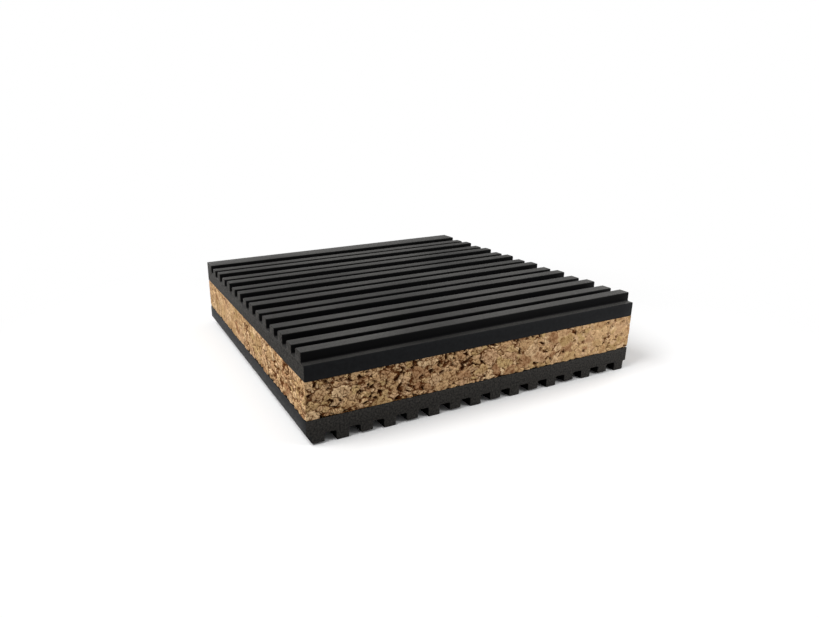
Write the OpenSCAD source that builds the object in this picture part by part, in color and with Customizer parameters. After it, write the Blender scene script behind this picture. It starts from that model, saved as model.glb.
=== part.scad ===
// Anti-vibration machine pad: a slab of granulated cork bonded between two ribbed rubber sheets.
// Both sheets come from one ribbed stock, in which every second rib is a little lower.
// The top ribs run along X and the bottom ribs along Y, so the two faces grip in both directions.
// The pad stands on its bottom ribs, with the origin under its centre.

/* [Pad outline] */
// Width of the pad, along the top ribs
pad_w = 101.6; // [60:0.1:200]
// Depth of the pad, across the top ribs
pad_d = 98; // [60:0.1:200]

/* [Cork core] */
// Thickness of the cork slab
cork_t = 9.8; // [4:0.1:25]

/* [Ribbed rubber stock] */
// Thickness of the plain rubber web that carries the ribs
web_t = 4.1; // [2:0.1:10]
// Height of the high ribs above the web
high_rib_h = 2.6; // [1.6:0.1:5]
// How far the low ribs stop short of the high ones
low_rib_drop = 0.4; // [0.1:0.05:0.8]
// Distance from one rib to the next
rib_pitch = 6.4; // [5.5:0.1:10]
// Width of a rib
rib_w = 3.4; // [2:0.1:4.4]
// Radius along the top edges of the ribs
rib_edge_r = 0.35; // [0.1:0.05:0.6]
// Radius of the fillets at the feet of the ribs
rib_root_r = 0.4; // [0.1:0.05:0.6]

/* [Where the sheets are cut] */
// Bare web in front of the first top rib
top_ledge = 1.85; // [0.5:0.05:3]
// Bare web to the left of the first bottom rib
bottom_ledge = 1.25; // [0.5:0.05:3]

/* [Hidden] */

rubber_colour = "#2b2b2c";
cork_colour = "#a8835a";
$fn = 32;

// A rib is sunk this far into the web, so that the two join as one section
rib_embed = 0.5;
sheet_t = web_t + high_rib_h;
low_rib_h = high_rib_h - low_rib_drop;
groove_w = rib_pitch - rib_w;

// The roundings are limited by the rib and the groove that they sit in
edge_r = min(rib_edge_r, 0.4 * rib_w);
root_r = min(rib_root_r, 0.4 * groove_w);

cork_z = sheet_t;
top_sheet_z = cork_z + cork_t;

// Whole ribs that fit on a sheet of this span behind its ledge
function rib_count(span, ledge) = floor((span - ledge - rib_w) / rib_pitch) + 1;

// Ribs alternate between high and low, counted from the ledge
function rib_height(i, first_is_high) = (i % 2 == 0) == first_is_high ? high_rib_h : low_rib_h;

// Concave fillet in the corner between the web and the right flank of a rib
module root_fillet() {
    difference() {
        translate([-rib_embed, -rib_embed])
            square(rib_embed + root_r);
        translate([root_r, root_r])
            circle(r = root_r);
    }
}

// Section of one rib of width w, with its left foot at the origin and the web's face at y = 0
module rib_section(w, h) {
    translate([0, -rib_embed])
        square([w, h - edge_r + rib_embed]);
    translate([edge_r, 0])
        square([w - 2 * edge_r, h]);
    for (x = [edge_r, w - edge_r])
        translate([x, h - edge_r])
            circle(r = edge_r);
    translate([w, 0])
        root_fillet();
    mirror([1, 0])
        root_fillet();
}

// Section across a sheet, from its bond face at y = 0 to the tips of its ribs.
// With a border, the last rib runs out to the sheet's edge as a plain land.
module sheet_section(span, ledge, first_is_high, border) {
    last = rib_count(span, ledge) - 1;
    square([span, web_t]);
    intersection() {
        square([span, sheet_t]);
        for (i = [0 : last]) {
            foot = ledge + i * rib_pitch;
            w = border && i == last ? span - foot + rib_pitch : rib_w;
            translate([foot, web_t])
                rib_section(w, rib_height(i, first_is_high));
        }
    }
}

// Ribbed sheet centred on the origin, with the ribs along its Z and its bond face on its X-Z plane
module ribbed_sheet(span, run, ledge, first_is_high, border) {
    linear_extrude(height = run, center = true)
        translate([-span / 2, 0])
            sheet_section(span, ledge, first_is_high, border);
}

module bottom_rubber_sheet() {
    color(rubber_colour)
        translate([0, 0, sheet_t])
            mirror([0, 0, 1])
                rotate([90, 0, 0])
                    ribbed_sheet(pad_w, pad_d, bottom_ledge, first_is_high = false, border = false);
}

module cork_core() {
    color(cork_colour)
        translate([-pad_w / 2, -pad_d / 2, cork_z])
            cube([pad_w, pad_d, cork_t]);
}

module top_rubber_sheet() {
    color(rubber_colour)
        translate([0, 0, top_sheet_z])
            rotate([90, 0, 90])
                ribbed_sheet(pad_d, pad_w, top_ledge, first_is_high = true, border = true);
}

bottom_rubber_sheet();
cork_core();
top_rubber_sheet();
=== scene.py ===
# %% [markdown]
# # A ribbed rubber and cork machine pad
# The pad is a sandwich: a slab of granulated cork, bonded between two sheets of ribbed rubber.
# This lesson dresses the plain solids of that pad. The solids come in as a fixed frame, in metres,
# and every piece that is made here takes its place and its size from them.

# %% Load the frame
import math

import bmesh
import bpy
from mathutils import Matrix, Vector, noise


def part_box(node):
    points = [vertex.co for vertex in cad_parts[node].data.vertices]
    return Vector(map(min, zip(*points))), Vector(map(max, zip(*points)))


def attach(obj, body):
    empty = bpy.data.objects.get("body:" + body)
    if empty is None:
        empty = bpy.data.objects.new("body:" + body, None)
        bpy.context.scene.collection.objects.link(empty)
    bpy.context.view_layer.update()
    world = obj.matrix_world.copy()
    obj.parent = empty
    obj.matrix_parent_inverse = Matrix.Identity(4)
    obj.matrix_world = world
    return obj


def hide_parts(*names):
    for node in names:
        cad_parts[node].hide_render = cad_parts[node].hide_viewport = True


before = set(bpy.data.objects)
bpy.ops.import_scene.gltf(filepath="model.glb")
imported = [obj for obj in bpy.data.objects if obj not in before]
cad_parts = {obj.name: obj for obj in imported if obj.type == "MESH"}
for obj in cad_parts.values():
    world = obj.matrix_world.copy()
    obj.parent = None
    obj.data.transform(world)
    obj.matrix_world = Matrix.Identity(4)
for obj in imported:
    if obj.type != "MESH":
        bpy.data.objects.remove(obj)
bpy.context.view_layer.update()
MM = 0.001

# %% [markdown]
# ## Camera
# The photograph was taken from close by, about 14 centimetres from the near corner, so the perspective
# is strong. A camera can be aimed at a target, but its tilt is easier to read as three turns about its
# own axes: round the upright, down, and a slight lean. The frame was cropped off-centre, and the lens
# shift repeats that crop.

# %% Place the camera
CAMERA_PLACE = Vector((-93.1, -166.4, 75.1)) * MM
CAMERA_YAW = math.radians(24.14)
CAMERA_PITCH = math.radians(-18.31)
CAMERA_LEAN = math.radians(-1.05)
SENSOR_WIDTH = 36.0
FOCAL_LENGTH = 26.62
CROP_SHIFT = 0.0793
NEAREST_SEEN = 5 * MM

camera_data = bpy.data.cameras.new("camera")
camera_data.sensor_width = SENSOR_WIDTH
camera_data.lens = FOCAL_LENGTH
camera_data.shift_x = CROP_SHIFT
camera_data.clip_start = NEAREST_SEEN
camera = bpy.data.objects.new("camera", camera_data)
camera.matrix_world = (
    Matrix.Translation(CAMERA_PLACE)
    @ Matrix.Rotation(-CAMERA_YAW, 4, "Z")
    @ Matrix.Rotation(math.pi / 2 + CAMERA_PITCH, 4, "X")
    @ Matrix.Rotation(CAMERA_LEAN, 4, "Z")
)
bpy.context.scene.collection.objects.link(camera)
bpy.context.scene.camera = camera
bpy.context.scene.view_settings.view_transform = "Standard"
print("camera at", [round(c / MM) for c in CAMERA_PLACE], "mm")

# %% [markdown]
# ## Small helpers for node materials
# A material is a graph of nodes. It can be clicked together in the editor, but a script can be read,
# changed and run again. These helpers keep each graph short: one adds any node and sets or links its
# inputs, two add the nodes for arithmetic and for mixing colours, and two start and end a material.


# %% Node helpers
def add_node(tree, kind, inputs=None, **settings):
    """Adds a node, applies its settings, then sets or links its inputs."""
    made = tree.nodes.new(kind)
    for name, value in settings.items():
        setattr(made, name, value)
    for name, value in (inputs or {}).items():
        if isinstance(value, bpy.types.NodeSocket):
            tree.links.new(value, made.inputs[name])
        else:
            made.inputs[name].default_value = value
    return made


def add_math(tree, operation, first, second):
    """One step of arithmetic on two numbers."""
    return add_node(tree, "ShaderNodeMath", {0: first, 1: second}, operation=operation).outputs[0]


def add_mix(tree, factor, first, second, blend="MIX"):
    """Mixes two colours by a factor from 0 to 1."""
    # A Mix node has sockets for every kind of value, and those for colours are 6, 7 and output 2
    inputs = {0: factor, 6: first, 7: second}
    return add_node(tree, "ShaderNodeMix", inputs, data_type="RGBA", blend_type=blend).outputs[2]


def new_material(name):
    """A material with an empty graph, its output and its object coordinates."""
    material = bpy.data.materials.new(name)
    material.use_nodes = True
    tree = material.node_tree
    tree.nodes.clear()
    output = tree.nodes.new("ShaderNodeOutputMaterial")
    place = tree.nodes.new("ShaderNodeTexCoord").outputs["Object"]
    print("material", name)
    return material, tree, output, place


def link_surface(tree, shader, output):
    """Ends a graph by showing a shader on the surface."""
    tree.links.new(shader.outputs[0], output.inputs["Surface"])


print("node helpers ready")

# %% [markdown]
# ## Stage
# The pad stands on a plain white sheet. Near the pad the sheet is a real lit floor, so that it keeps
# the soft shadow, and further out it fades to an even white. A wide white floor would throw so much
# light back at the sides that they would go flat, so it is white only to rays that draw the picture or
# a reflection, and greyer to the rays that carry light from one surface to the next.

# %% Floor paper
WHITE = (1, 1, 1, 1)
PAPER = (0.93, 0.93, 0.93, 1)
PAPER_BOUNCE = (0.42, 0.42, 0.42, 1)
FADE_START = 0.07
FADE_END = 0.15


def seen_directly(tree):
    """1 for rays that draw what is seen, straight, mirrored or through glass, and 0 for the others."""
    rays = tree.nodes.new("ShaderNodeLightPath").outputs
    camera_or_gloss = add_math(tree, "MAXIMUM", rays["Is Camera Ray"], rays["Is Glossy Ray"])
    return add_math(tree, "MAXIMUM", camera_or_gloss, rays["Is Transmission Ray"])


def floor_paper():
    """White paper that is lit near the pad and an even white further out."""
    material, tree, output, place = new_material("floor_paper")
    seen = seen_directly(tree)
    paper = add_mix(tree, seen, PAPER_BOUNCE, PAPER)
    lit = add_node(tree, "ShaderNodeBsdfDiffuse", {"Color": paper}).outputs[0]
    white = add_node(tree, "ShaderNodeEmission", {"Color": WHITE, "Strength": 1.0}).outputs[0]
    distance = add_node(tree, "ShaderNodeVectorMath", {0: place}, operation="LENGTH").outputs["Value"]
    fade_range = {"Value": distance, "From Min": FADE_START, "From Max": FADE_END}
    fade = add_node(tree, "ShaderNodeMapRange", fade_range, interpolation_type="SMOOTHSTEP").outputs[0]
    shown = add_math(tree, "MULTIPLY", fade, seen)
    link_surface(tree, add_node(tree, "ShaderNodeMixShader", {0: shown, 1: lit, 2: white}), output)
    return material


white_paper = floor_paper()

# %% Floor
FLOOR_HALF = 3.0

bm = bmesh.new()
bmesh.ops.create_grid(bm, x_segments=1, y_segments=1, size=FLOOR_HALF)
floor_mesh = bpy.data.meshes.new("floor")
bm.to_mesh(floor_mesh)
bm.free()
floor = bpy.data.objects.new("floor", floor_mesh)
floor.data.materials.append(white_paper)
bpy.context.scene.collection.objects.link(floor)
print("floor", 2 * FLOOR_HALF, "m wide")

# %% World
AMBIENT = 0.28

world = bpy.data.worlds.new("studio")
world.use_nodes = True
sky_tree = world.node_tree
sky_tree.nodes.clear()
room = add_node(sky_tree, "ShaderNodeBackground", {"Color": WHITE, "Strength": AMBIENT}).outputs[0]
backdrop = add_node(sky_tree, "ShaderNodeBackground", {"Color": WHITE, "Strength": 1.0}).outputs[0]
sky = add_node(sky_tree, "ShaderNodeMixShader", {0: seen_directly(sky_tree), 1: room, 2: backdrop})
link_surface(sky_tree, sky, sky_tree.nodes.new("ShaderNodeOutputWorld"))
bpy.context.scene.world = world
print("world lights the pad at", AMBIENT)

# %% [markdown]
# ## Light
# One large lamp could light the whole pad, but in the photograph the front is almost twice as bright at
# its right end as at the near corner. So there are four soft boxes. The main one hangs high on the
# left, and the rib tops and the left side are bright while the front stays in half shade. The small one
# stands in front of the right end. The other two are weak: one on the right lightens the shadow, and
# one low behind the pad lights its back without a glare on the ribs from here.

# %% Soft boxes
LIGHT_TARGET = Vector((0, 0, 0.01))


def soft_box(name, place, size, watts):
    """A square lamp that looks at the pad and isn't seen itself."""
    data = bpy.data.lights.new(name, "AREA")
    data.shape = "SQUARE"
    data.size = size
    data.energy = watts
    lamp = bpy.data.objects.new(name, data)
    aim = LIGHT_TARGET - place
    lamp.matrix_world = Matrix.Translation(place) @ aim.to_track_quat("-Z", "Y").to_matrix().to_4x4()
    lamp.visible_camera = False
    bpy.context.scene.collection.objects.link(lamp)
    print(name, "at", [round(c, 2) for c in place], "m,", watts, "W")


soft_box("main_box", Vector((-0.24, -0.04, 0.30)), size=0.22, watts=1.35)
soft_box("fill_box", Vector((0.09, -0.14, 0.07)), size=0.06, watts=0.082)
soft_box("side_box", Vector((0.30, 0.03, 0.10)), size=0.15, watts=0.30)
soft_box("back_box", Vector((-0.10, 0.33, 0.07)), size=0.12, watts=0.25)

# %% [markdown]
# ## Ribbed sheets
# Each sheet was moulded with its ribs and then cut to size, so the moulded edges are round and the
# cut edges are crisp but not razor sharp. A rib section could be drawn and extruded again here, but
# the solid in the frame already has it. So a copy of its mesh is merged into clean faces, and one
# bevel takes the razor edge off every cut.
# Three kinds of face are told apart before that: the moulded faces, the long edges that run beside the
# ribs, and the ends that were cut across the ribs.

# %% Clean copy of a solid
ON_FACE = 0.001 * MM
FLAT_ANGLE = math.radians(1)


def merged_copy(node_name):
    """The mesh of a node as one closed skin, with flat areas joined into single faces."""
    bm = bmesh.new()
    bm.from_mesh(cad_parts[node_name].data)
    bmesh.ops.remove_doubles(bm, verts=bm.verts, dist=ON_FACE)
    bmesh.ops.dissolve_limit(bm, angle_limit=FLAT_ANGLE, verts=bm.verts, edges=bm.edges)
    print(node_name, "merged into", len(bm.faces), "faces")
    return bm


print("faces within", round(math.degrees(FLAT_ANGLE)), "degree of each other are joined")

# %% Cut faces and edges
# The places of the cut finishes in a sheet's list of materials, after the moulded one
LONG_EDGE = 1
END_CUT = 2
UPRIGHT = 0.999
CUT_ANGLE = math.radians(60)
CUT_EDGE = 0.2 * MM


def mark_cuts(bm, run_axis):
    """Gives each face that a knife left its finish, by the side of the sheet that it looks out of."""
    reach = [max(abs(vert.co[axis]) for vert in bm.verts) for axis in (0, 1)]
    for face in bm.faces:
        sideways = max((0, 1), key=lambda axis: abs(face.normal[axis]))
        upright = abs(face.normal[sideways]) > UPRIGHT
        outermost = abs(abs(face.calc_center_median()[sideways]) - reach[sideways]) < ON_FACE
        if upright and outermost:
            face.material_index = END_CUT if sideways == run_axis else LONG_EDGE


def soften_cuts(bm):
    """Takes the razor edge off every cut."""
    cuts = [edge for edge in bm.edges if edge.calc_face_angle() > CUT_ANGLE]
    bmesh.ops.bevel(
        bm,
        geom=cuts,
        affect="EDGES",
        offset=CUT_EDGE,
        segments=2,
        profile=0.5,
        material=-1,
        clamp_overlap=False,
    )
    print(len(cuts), "cut edges softened")


print("cuts are softened by", round(CUT_EDGE / MM, 2), "mm")

# %% [markdown]
# ### Bend, bloom and painted sheen
# Even cuts along the ribs give the mesh somewhere to bend, and a slow noise makes the rubber wander by
# a few hundredths of a millimetre, as soft sheet does. A displace modifier could do that too, but here
# the points are at hand anyway. Vector noise starts from a random place in each session, so it is
# seeded, and every run gives the same pad.
# Handling and dust leave a grey bloom on the moulded faces that look out of the pad, and the same grey
# is a painted sheen that makes those faces lighter than the black sides. Most of it lies on the tips of
# the ribs, and the grooves get less of it as painted shade. Each point stores how much bloom and
# painted sheen it carries, for the material to read.

# %% Bend, bloom and painted sheen
STATION_STEP = 4 * MM
NOISE_SEED = 1
WANDER = 0.06 * MM
WANDER_LENGTH = 14 * MM
FACING_OUT = (0.6, 0.95)
TIP_DEPTH = (0.6 * MM, 1.5 * MM)
# The grooves keep only this share of the bloom, and the missing part is painted shade
SHADED_GROOVE_SHARE = 0.6

noise.seed_set(NOISE_SEED)


def smooth_step(value, low, high):
    """0 below low, 1 above high, and a soft S-curve between."""
    share = min(max((value - low) / (high - low), 0.0), 1.0)
    return share * share * (3 - 2 * share)


def fade_out(value, low, high):
    """1 below low, 0 above high, and a soft S-curve between."""
    return 1 - smooth_step(value, low, high)


def add_stations(bm, low, high, run_axis):
    """Cuts the skin across at even steps along the ribs."""
    run = Vector([float(axis == run_axis) for axis in range(3)])
    count = round((high - low)[run_axis] / STATION_STEP)
    for i in range(1, count):
        everything = bm.verts[:] + bm.edges[:] + bm.faces[:]
        bmesh.ops.bisect_plane(bm, geom=everything, plane_co=low.lerp(high, i / count), plane_no=run)


def add_bloom_and_sheen(bm, tips, outward):
    """Stores the bloom and painted sheen on the points: all of it at the height of the tips, less in
    the grooves as painted shade.
    """
    bm.normal_update()
    bloom_and_sheen = bm.verts.layers.float.new("bloom_and_sheen")
    for vert in bm.verts:
        at_tips = fade_out(abs(vert.co.z - tips), *TIP_DEPTH)
        facing = smooth_step(outward * vert.normal.z, *FACING_OUT)
        vert[bloom_and_sheen] = facing * (SHADED_GROOVE_SHARE + (1 - SHADED_GROOVE_SHARE) * at_tips)


def add_wander(bm):
    """Lets the points wander sideways by a slow noise."""
    for vert in bm.verts:
        sway = noise.noise_vector(vert.co / WANDER_LENGTH) * WANDER
        vert.co += Vector((sway.x, sway.y, 0))


print("rubber wanders by up to", WANDER / MM, "mm")

# %% [markdown]
# ### From a mesh to a piece
# A piece is a mesh that rides on a body of the frame and stands for one of its solids. Flat shading
# would show every facet of the round edges, so the shading is smooth, and an angle keeps every sharper
# corner crisp.

# %% Ribbed sheet pieces
RUBBER_CORNER = math.radians(35)


def add_piece(name, bm, node_name, sharp_angle):
    """Turns a bmesh into a piece of the pad that stands for one node of the frame."""
    mesh = bpy.data.meshes.new(name)
    bm.to_mesh(mesh)
    bm.free()
    mesh.shade_smooth()
    mesh.set_sharp_from_angle(angle=sharp_angle)
    piece = bpy.data.objects.new(name, mesh)
    bpy.context.scene.collection.objects.link(piece)
    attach(piece, "root")
    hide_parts(node_name)
    print(name, "has", len(mesh.polygons), "faces")
    return piece


def ribbed_sheet(name, node_name, run_axis, outward):
    """A sheet with softened cuts. outward is 1 for ribs that look up and -1 for ribs that look down."""
    low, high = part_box(node_name)
    bm = merged_copy(node_name)
    mark_cuts(bm, run_axis)
    soften_cuts(bm)
    add_stations(bm, low, high, run_axis)
    add_bloom_and_sheen(bm, high.z if outward > 0 else low.z, outward)
    add_wander(bm)
    return add_piece(name, bm, node_name, RUBBER_CORNER)


top_sheet = ribbed_sheet("ribbed_top_sheet", "top_rubber_sheet", run_axis=0, outward=1)
bottom_sheet = ribbed_sheet("ribbed_bottom_sheet", "bottom_rubber_sheet", run_axis=1, outward=-1)

# %% [markdown]
# ## Helpers for patterned finishes
# No real surface has one flat colour. A noise gives a pattern of numbers, a range stretches the part
# of it that matters, and a ramp or a mix turns the numbers into colours. The other helpers read a mark
# that was stored on the points, turn a pattern into fine relief, and end a material in the shader that
# all finishes of the pad share.

# %% Pattern helpers
NOISE_ROUGHNESS = 0.6


def add_noise(tree, place, lumps, detail=3.0):
    """A noise from 0 to 1 with about this many lumps in a metre."""
    inputs = {"Vector": place, "Scale": lumps, "Detail": detail, "Roughness": NOISE_ROUGHNESS}
    return add_node(tree, "ShaderNodeTexNoise", inputs).outputs[0]


def add_range(tree, value, source, target):
    """Moves a number from the source range to the target range, and holds it there."""
    inputs = {"Value": value, "From Min": source[0], "From Max": source[1]}
    inputs |= {"To Min": target[0], "To Max": target[1]}
    return add_node(tree, "ShaderNodeMapRange", inputs).outputs[0]


def add_ramp(tree, factor, stops):
    """A colour ramp with stops of a position and a colour."""
    made = add_node(tree, "ShaderNodeValToRGB", {"Fac": factor})
    elements = made.color_ramp.elements
    # A new stop starts in the middle of the ramp and is then moved to its place
    while len(elements) < len(stops):
        elements.new(0.5)
    for element, (position, colour) in zip(elements, stops):
        element.position = position
        element.color = colour
    return made.outputs["Color"]


def add_mark(tree, name):
    """A number that was stored on the points of the mesh."""
    return add_node(tree, "ShaderNodeAttribute", attribute_name=name).outputs["Fac"]


def add_bump(tree, height, strength, depth):
    """A normal that shows a pattern as relief of this depth in metres."""
    inputs = {"Height": height, "Strength": strength, "Distance": depth}
    return add_node(tree, "ShaderNodeBump", inputs).outputs[0]


def add_finish(tree, output, colour, roughness, specular, normal):
    """Ends a material in one shader."""
    inputs = {"Base Color": colour, "Roughness": roughness, "Normal": normal}
    inputs |= {"Specular IOR Level": specular}
    link_surface(tree, add_node(tree, "ShaderNodeBsdfPrincipled", inputs), output)


print("pattern helpers ready")

# %% [markdown]
# ## Rubber
# Dense black rubber has almost no colour of its own. What shows is a weak, broad sheen that grows as
# the surface turns edge-on to the eye, so a low specular level with a middling roughness does most of
# the work. The moulded faces carry the grey bloom, which is also a painted sheen on the faces that look
# out, and it isn't even: streaks along the ribs, large patches and a fine grain each wear some of it
# away. The long edges are smooth and have no bloom, and the ends cut across the ribs are torn, dull and
# mottled.
# A picture could be wrapped round the sheets instead, but noise on object coordinates needs no
# unwrapping and has no seams.

# %% Moulded rubber
RUBBER_BLACK = (0.0018, 0.0018, 0.0020, 1)
# The grey of the dust bloom, which also paints a sheen onto the faces that look out
BLOOM_AND_SHEEN_GREY = (0.080, 0.078, 0.074, 1)
GRAIN_LUMPS = 2600.0
PATCH_LUMPS = 24.0
WEAR_RANGE = (0.33, 0.62)
# The share of the bloom and painted sheen that the deepest streak, patch or grain leaves
STREAK_BLOOM_AND_SHEEN = 0.75
PATCH_BLOOM_AND_SHEEN = 0.45
GRAIN_BLOOM_AND_SHEEN = 0.65
STREAK_RANGE = (0.25, 0.75)
MOULDED_ROUGHNESS = (0.50, 0.62)
MOULDED_SPECULAR = 0.04
MOULDED_RELIEF = 0.1 * MM
# Streaks in a metre along each axis, few along the ribs and many across them
STREAKS_ALONG_X = (60, 1600, 1600)
STREAKS_ALONG_Y = (1600, 60, 1600)


def moulded_rubber(name, streaks_per_metre):
    """Black rubber with streaks along the ribs and a bloom with painted sheen on the faces that look
    outward.
    """
    material, tree, output, place = new_material(name)
    stretch = {"Vector": place, "Scale": streaks_per_metre}
    stretched = add_node(tree, "ShaderNodeMapping", stretch).outputs[0]
    streaks = add_noise(tree, stretched, lumps=1.0)
    patches = add_noise(tree, place, PATCH_LUMPS, detail=1.0)
    grain = add_noise(tree, place, GRAIN_LUMPS)
    bloom_and_sheen = add_mark(tree, "bloom_and_sheen")
    for pattern, least in ((streaks, STREAK_BLOOM_AND_SHEEN), (patches, PATCH_BLOOM_AND_SHEEN), (grain, GRAIN_BLOOM_AND_SHEEN)):
        bloom_and_sheen = add_math(tree, "MULTIPLY", bloom_and_sheen, add_range(tree, pattern, WEAR_RANGE, (least, 1.0)))
    # The bloom grey over the black is dust and a painted sheen, lighter on the tips than in the grooves
    colour = add_mix(tree, bloom_and_sheen, RUBBER_BLACK, BLOOM_AND_SHEEN_GREY)
    roughness = add_range(tree, streaks, STREAK_RANGE, MOULDED_ROUGHNESS)
    relief = add_math(tree, "ADD", streaks, grain)
    normal = add_bump(tree, relief, strength=0.3, depth=MOULDED_RELIEF)
    add_finish(tree, output, colour, roughness, MOULDED_SPECULAR, normal)
    return material


moulded_top = moulded_rubber("moulded_rubber_top", STREAKS_ALONG_X)
moulded_bottom = moulded_rubber("moulded_rubber_bottom", STREAKS_ALONG_Y)

# %% Cut rubber
EDGE_BLACK = (0.0050, 0.0053, 0.0060, 1)
EDGE_GREY = (0.0090, 0.0095, 0.0105, 1)
TORN_DARK = (0.010, 0.0096, 0.0093, 1)
TORN_GREY = (0.055, 0.051, 0.046, 1)
DARKEST_MOTTLE = 0.35
PALEST_MOTTLE = 0.68
ROUGHNESS_SPREAD = 0.05
# Most of a noise lies in this range
NOISE_MIDDLE = (0.3, 0.7)


def cut_rubber(name, colours, lumps, roughness, specular, relief):
    """Rubber that was cut: a mottle between two colours, with its own grain."""
    material, tree, output, place = new_material(name)
    mottle = add_noise(tree, place, lumps, detail=4.0)
    colour = add_ramp(tree, mottle, [(DARKEST_MOTTLE, colours[0]), (PALEST_MOTTLE, colours[1])])
    spread = (roughness - ROUGHNESS_SPREAD, roughness + ROUGHNESS_SPREAD)
    mottled_roughness = add_range(tree, mottle, NOISE_MIDDLE, spread)
    normal = add_bump(tree, mottle, strength=0.5, depth=relief)
    add_finish(tree, output, colour, mottled_roughness, specular, normal)
    return material


long_edge = cut_rubber(
    "long_edge_rubber",
    (EDGE_BLACK, EDGE_GREY),
    lumps=900.0,
    roughness=0.5,
    specular=0.06,
    relief=0.05 * MM,
)
end_cut = cut_rubber(
    "end_cut_rubber",
    (TORN_DARK, TORN_GREY),
    lumps=2000.0,
    roughness=0.7,
    specular=0.07,
    relief=0.35 * MM,
)

# %% Finishes of the two sheets
for sheet, moulded in ((top_sheet, moulded_top), (bottom_sheet, moulded_bottom)):
    for material in (moulded, long_edge, end_cut):
        sheet.data.materials.append(material)
    print(sheet.name, "has", len(sheet.data.materials), "finishes")

# %% [markdown]
# ## Cork slab
# The core is ground cork pressed into a block with a little binder, then sawn. On the sawn sides the
# granules show as tan lumps of two to four millimetres, pressed a little flat, with thin brown seams
# between them and small dark pits where the corners of three granules don't quite meet. Around the
# near left corner the cork is rougher and looser.
# A bump map could fake this, but the pits are deep enough to see from the side, so the four sides are
# cut into a fine grid and every point is pushed in by a granule pattern. Cell noise gives the pattern:
# the nearest heart is the granule itself, the second nearest tells how far its wall is, and the third
# nearest how far the corner is, where a pit can open.

# %% Granules
# All lengths in the pattern are in mm
GRANULE = 4.0
CRUMB = 2.1
CRUMBLED_SHARE = 0.42
FLATTENING = 1.4
# How far and how finely two noises bend the granules out of round
BENDS = ((0.30, 1.9), (0.10, 5.3))
# Moves a pattern away from another one that it would repeat
PATTERN_SHIFT = Vector((31, 17, 5))
# Sets neighbouring hearts far enough apart to throw different dice
DICE_SPREAD = 9.7
FRONT_MIDDLE = Vector((0, -49, 11))


def granules(point, size):
    """Distances from a point to its granule's wall and corner, and three dice of that granule."""
    pressed = Vector((point.x, point.y, point.z * FLATTENING)) / size
    bent = pressed.copy()
    for strength, fineness in BENDS:
        bent += strength * noise.noise_vector(pressed * fineness)
    distances, hearts = noise.voronoi(bent)
    wall = (distances[1] - distances[0]) * size / 2
    corner = (distances[2] - distances[0]) * size / 2
    return wall, corner, noise.cell_vector(hearts[0] * DICE_SPREAD)


def mixed_granules(point):
    """The same, with a share of the granules crumbled into smaller ones."""
    wall, corner, dice = granules(point, GRANULE)
    if dice.x < CRUMBLED_SHARE:
        crumb_wall, crumb_corner, dice = granules(point + PATTERN_SHIFT, CRUMB)
        wall = min(wall, crumb_wall)
        corner = min(corner, crumb_corner)
    return wall, corner, dice


print("middle of the front:", round(mixed_granules(FRONT_MIDDLE)[0], 2), "mm from its granule's wall")

# %% [markdown]
# ### Loose granules, pits and nicks
# How well the granules hold together changes from place to place. The loose spots could be painted by
# hand, but the slab has four long sides, so a noise says where the granules are loose, another says
# where pits open, and the coarse corner adds to both. Along the bond, where the saw ran from cork into
# rubber, bits of granule broke away and left nicks. Each granule also has growth layers in a direction
# of its own, which its dice choose.

# %% Loose granules, pits and nicks
COARSE_SPOT = Vector((-30, -42, 11))
COARSE_REACH = 52
COARSE_FALLOFF = 4
LOOSE_LUMPS_ALONG = 0.6
LOOSE_LUMPS_UP = 0.8
LOOSE_RANGE = (-0.05, 0.7)
COARSE_LOOSENESS = 0.55
HOLLOW_LUMPS = 0.7
HOLLOW_RANGE = (0.30, 0.46)
COARSE_HOLLOWNESS = 0.22
PIT_HEART = 0.08
PIT_LEAST = 0.1
PIT_RADIUS = 0.44
NICK_REACH = (0.05, 0.45)
NICK_CLEAR_OF_WALL = 0.9
NICK_LEAST = 0.3
LAYERS_PER_MM = 3.0
LAYER_SPREAD = 50
HALF = Vector((0.5, 0.5, 0.5))


def coarseness(point):
    """1 around the coarse corner, and 0 far from it."""
    return math.exp(-(((point - COARSE_SPOT).length / COARSE_REACH) ** COARSE_FALLOFF))


def looseness(point, coarse):
    """0 where the granules are pressed tight, and 1 where they are loose."""
    lying = (point.x * LOOSE_LUMPS_ALONG, point.y * LOOSE_LUMPS_ALONG, point.z * LOOSE_LUMPS_UP)
    return smooth_step(noise.noise(Vector(lying)) + COARSE_LOOSENESS * coarse, *LOOSE_RANGE)


def pit_at(point, corner, coarse):
    """1 in a pit at the corner of three granules, and 0 outside."""
    hollowness = noise.noise(point * HOLLOW_LUMPS + PATTERN_SHIFT) + COARSE_HOLLOWNESS * coarse
    hollow = smooth_step(hollowness, *HOLLOW_RANGE)
    return fade_out(corner, PIT_HEART, PIT_LEAST + PIT_RADIUS * hollow) * hollow


def nick_at(wall, rim, loose):
    """1 where a bit of granule broke away beside the bond, and 0 elsewhere."""
    near_bond = fade_out(rim + NICK_CLEAR_OF_WALL * wall, *NICK_REACH)
    return near_bond * (NICK_LEAST + (1 - NICK_LEAST) * loose)


def layer_at(point, dice):
    """The growth layers of a granule, from -1 to 1."""
    across = point.dot(dice - HALF) * LAYERS_PER_MM
    return noise.noise(Vector((across, LAYER_SPREAD * dice.x, LAYER_SPREAD * dice.y)))


print("middle of the front:", round(coarseness(FRONT_MIDDLE), 2), "coarse")

# %% [markdown]
# ### Depth and marks
# One function now says what the cork is like at a point: how deep it lies under the saw cut, and the
# marks that are stored there, so that colour and relief agree.

# %% Depth and marks
SEAM_WIDTH = 0.22
SHOULDER_WIDTH = 0.35
# A wall further away than this is marked as if it were this far
WIDEST_MARKED = 1.0
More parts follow.
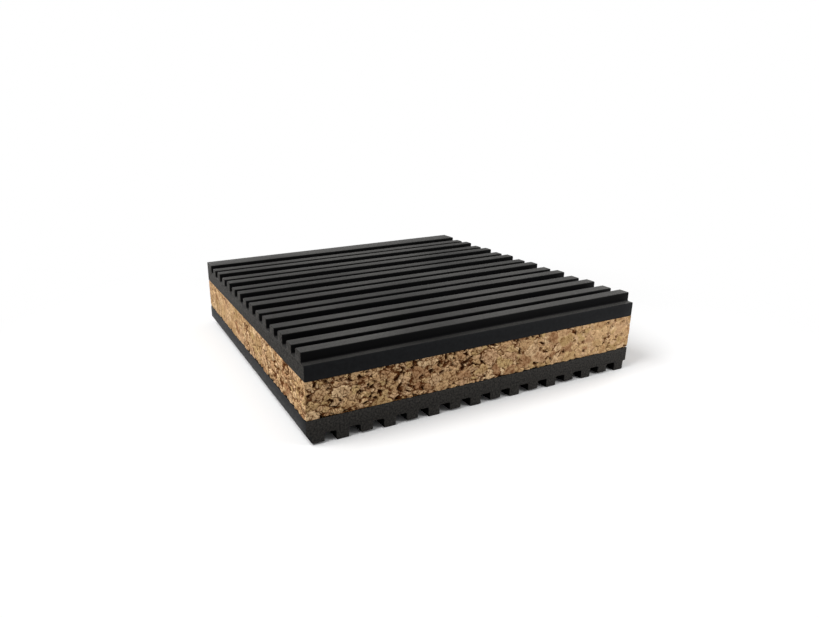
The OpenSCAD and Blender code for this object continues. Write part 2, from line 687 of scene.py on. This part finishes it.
# How deep each of these lies under the saw cut
GRANULE_DEPTH = 0.10
SHOULDER_DEPTH = 0.06
SEAM_DEPTH = 0.16
PIT_DEPTH = 0.7
NICK_DEPTH = 0.4
# Heights of two grains, with their lumps in a mm
GRAINS = ((0.04, 2.2), (0.02, 5.1))
CORK_MARKS = ("granule", "layer", "wall", "loose", "pit", "coarse")


def cork_at(point, rim):
    """What the cork is like at a point that lies rim mm from a bond: its depth and its marks."""
    wall, corner, dice = mixed_granules(point)
    coarse = coarseness(point)
    loose = looseness(point, coarse)
    pit = pit_at(point, corner, coarse)
    nick = nick_at(wall, rim, loose)
    shoulder = fade_out(wall, 0.0, SHOULDER_WIDTH)
    seam = fade_out(wall, 0.0, SEAM_WIDTH) * loose
    grain = sum(height * noise.noise(point * lumps) for height, lumps in GRAINS)
    depth = (
        GRANULE_DEPTH * dice.y
        + SHOULDER_DEPTH * shoulder
        + SEAM_DEPTH * seam
        + PIT_DEPTH * pit
        + NICK_DEPTH * nick
        + grain
    )
    marks = (dice.z, layer_at(point, dice), min(wall, WIDEST_MARKED), loose, max(pit, nick), coarse)
    return depth, dict(zip(CORK_MARKS, marks))


print("middle of the front:", round(cork_at(FRONT_MIDDLE, rim=4)[0], 2), "mm under the saw cut")

# %% [markdown]
# ### Walls of the slab
# The bonded faces of the slab are never seen, so only its four sides need the fine grid. A block loses
# its top and bottom, its sides are cut into small squares and pushed in, and one face then closes each
# opening. The whole block could be subdivided, but that would spend most of the squares on faces that
# nobody sees.

# %% Cork slab piece
CORK_STEP = 0.22 * MM
CORK_CORNER = math.radians(75)
LEVEL = 0.5


def edge_span(edge, axis):
    """How far an edge runs along an axis."""
    return abs(edge.verts[0].co[axis] - edge.verts[1].co[axis])


def gridded_walls(low, high):
    """The four sides of a block, cut into a fine grid, with no top and no bottom."""
    bm = bmesh.new()
    size = high - low
    block = Matrix.Translation((low + high) / 2) @ Matrix.Diagonal((*size, 1))
    bmesh.ops.create_cube(bm, size=1.0, matrix=block)
    caps = [face for face in bm.faces if abs(face.normal.z) > LEVEL]
    bmesh.ops.delete(bm, geom=caps, context="FACES_ONLY")
    for axis in (2, 0, 1):
        long_edges = [edge for edge in bm.edges if edge_span(edge, axis) > CORK_STEP]
        cuts = round(size[axis] / CORK_STEP) - 1
        bmesh.ops.subdivide_edges(bm, edges=long_edges, cuts=cuts, use_grid_fill=True)
    bm.normal_update()
    return bm


def cork_slab():
    """The slab's walls, pushed in by the granule pattern and capped top and bottom."""
    low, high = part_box("cork_core")
    bm = gridded_walls(low, high)
    layers = {name: bm.verts.layers.float.new(name) for name in CORK_MARKS}
    outward = {vert: vert.normal.copy() for vert in bm.verts}
    for vert, normal in outward.items():
        rim = min(vert.co.z - low.z, high.z - vert.co.z)
        depth, marks = cork_at(vert.co / MM, rim / MM)
        for name, mark in marks.items():
            vert[layers[name]] = mark
        vert.co -= normal * depth * MM
    rims = [edge for edge in bm.edges if edge.is_boundary]
    bmesh.ops.holes_fill(bm, edges=rims, sides=0)
    bmesh.ops.recalc_face_normals(bm, faces=bm.faces)
    return add_piece("cork_slab", bm, "cork_core", CORK_CORNER)


slab = cork_slab()

# %% [markdown]
# ## Cork
# Every granule has a tan of its own, from straw to a pinkish brown. Its growth layers, soft clouds and
# a fine speckle make it duller or brighter, its rim is paler than its heart as a painted highlight, and
# the coarse granules are a little paler than the rest. A noise over the whole slab could give such
# colours too, but it would run across the granules, so the tan is read from the marks on the points.

# %% Granule tans
GRANULE_TANS = [
    (0.0, (0.36, 0.190, 0.100, 1)),
    (0.08, (0.47, 0.275, 0.150, 1)),
    (0.3, (0.56, 0.352, 0.188, 1)),
    (0.45, (0.48, 0.312, 0.150, 1)),
    (0.6, (0.64, 0.412, 0.230, 1)),
    (0.8, (0.53, 0.322, 0.190, 1)),
    (1.0, (0.70, 0.480, 0.290, 1)),
]
DULL_TINT = (0.35, 0.200, 0.097, 1)
BRIGHT_TINT = (1.51, 1.63, 1.58, 1)
SPECKLE_LUMPS = 3500.0
LAYER_RANGE = (-0.5, 0.5)
RIM_HIGHLIGHT_REACH = (0.12, 0.45)
# How much each pattern can brighten a granule, on the way from the dull tint to the bright one
LAYER_SHADE = 0.30
CLOUD_SHADE = 0.35
SPECKLE_SHADE = 0.30
# The paler rim is a painted highlight along the edges of the granules
RIM_HIGHLIGHT = 0.25
COARSE_SHADE = 0.10


def granule_tan(tree, place, marks, mottle):
    """The tan of each granule, made duller or brighter by its patterns and a painted highlight on its
    rim.
    """
    speckle = add_noise(tree, place, SPECKLE_LUMPS, detail=2.0)
    tan = add_ramp(tree, marks["granule"], GRANULE_TANS)
    shade = add_range(tree, marks["layer"], LAYER_RANGE, (0.0, LAYER_SHADE))
    for part in (
        add_range(tree, mottle, NOISE_MIDDLE, (0.0, CLOUD_SHADE)),
        add_range(tree, speckle, NOISE_MIDDLE, (0.0, SPECKLE_SHADE)),
        add_range(tree, marks["wall"], RIM_HIGHLIGHT_REACH, (RIM_HIGHLIGHT, 0.0)),
        add_range(tree, marks["coarse"], (0.0, 1.0), (0.0, COARSE_SHADE)),
    ):
        shade = add_math(tree, "ADD", shade, part)
    tint = add_mix(tree, shade, DULL_TINT, BRIGHT_TINT)
    return add_mix(tree, 1.0, tan, tint, "MULTIPLY")


print(len(GRANULE_TANS), "tans in the ramp of the granules")

# %% [markdown]
# ### Dark marks on the cork
# Four kinds of brown lie over the tan, from the faintest to the deepest: flecks where the bark
# breathed, fine cracks in the coarse part, seams between the granules, and the almost black painted
# shade in the pits and nicks. Each is a colour and a share of the surface, so each is one mix, and the
# next one covers it.

# %% Flecks and cracks
FLECK_BROWN = (0.17, 0.060, 0.022, 1)
FLECK_LUMPS = 1500.0
FLECK_RANGE = (0.60, 0.70)
FLECK_STRENGTH = 0.75
CRACK_BROWN = (0.13, 0.050, 0.016, 1)
CRACK_CELLS = 950.0
CRACK_WIDTH = (0.04, 0.14)
CRACKED_CLOUDS = (0.42, 0.60)


def with_flecks(tree, colour, place):
    """A colour with dark flecks strewn over it."""
    fleck = add_noise(tree, place, FLECK_LUMPS, detail=2.0)
    share = add_range(tree, fleck, FLECK_RANGE, (0.0, FLECK_STRENGTH))
    return add_mix(tree, share, colour, FLECK_BROWN)


def with_cracks(tree, colour, place, marks, mottle):
    """A colour with a net of fine cracks in the darker clouds of the coarse part."""
    cells = {"Vector": place, "Scale": CRACK_CELLS}
    edge = add_node(tree, "ShaderNodeTexVoronoi", cells, feature="DISTANCE_TO_EDGE").outputs["Distance"]
    line = add_range(tree, edge, CRACK_WIDTH, (1.0, 0.0))
    dark_cloud = add_range(tree, mottle, CRACKED_CLOUDS, (1.0, 0.0))
    cracked = add_math(tree, "MULTIPLY", marks["coarse"], dark_cloud)
    return add_mix(tree, add_math(tree, "MULTIPLY", line, cracked), colour, CRACK_BROWN)


print(CRACK_CELLS * MM, "crack cells in a mm")

# %% Seams and pits
SEAM_BROWN = (0.100, 0.032, 0.009, 1)
SEAM_LINE = (0.05, 0.17)
SEAM_LOOSENESS = (0.0, 0.8)
FAINTEST_SEAM = 0.25
# An almost black brown, painted into the pits and nicks as their shade
PIT_SHADE_BROWN = (0.050, 0.013, 0.003, 1)
PIT_RANGE = (0.3, 0.8)


def with_seams(tree, colour, marks):
    """A colour with seams along the walls of the granules, darker where they are loose."""
    line = add_range(tree, marks["wall"], SEAM_LINE, (1.0, 0.0))
    strength = add_range(tree, marks["loose"], SEAM_LOOSENESS, (FAINTEST_SEAM, 1.0))
    return add_mix(tree, add_math(tree, "MULTIPLY", line, strength), colour, SEAM_BROWN)


def with_pit_shade(tree, colour, marks):
    """A colour with almost black painted shade in the pits and nicks."""
    share = add_range(tree, marks["pit"], PIT_RANGE, (0.0, 1.0))
    return add_mix(tree, share, colour, PIT_SHADE_BROWN)


print("seams end", SEAM_LINE[1], "mm from a wall")

# %% Cork material
CLOUD_LUMPS = 900.0
CORK_ROUGHNESS = 0.85
CORK_SPECULAR = 0.02
CORK_RELIEF = 0.15 * MM


def granulated_cork():
    """Dull tan cork with all its marks."""
    material, tree, output, place = new_material("granulated_cork")
    marks = {name: add_mark(tree, name) for name in CORK_MARKS}
    mottle = add_noise(tree, place, CLOUD_LUMPS, detail=4.0)
    colour = granule_tan(tree, place, marks, mottle)
    colour = with_flecks(tree, colour, place)
    colour = with_cracks(tree, colour, place, marks, mottle)
    colour = with_seams(tree, colour, marks)
    colour = with_pit_shade(tree, colour, marks)
    normal = add_bump(tree, mottle, strength=0.4, depth=CORK_RELIEF)
    add_finish(tree, output, colour, CORK_ROUGHNESS, CORK_SPECULAR, normal)
    return material


slab.data.materials.append(granulated_cork())
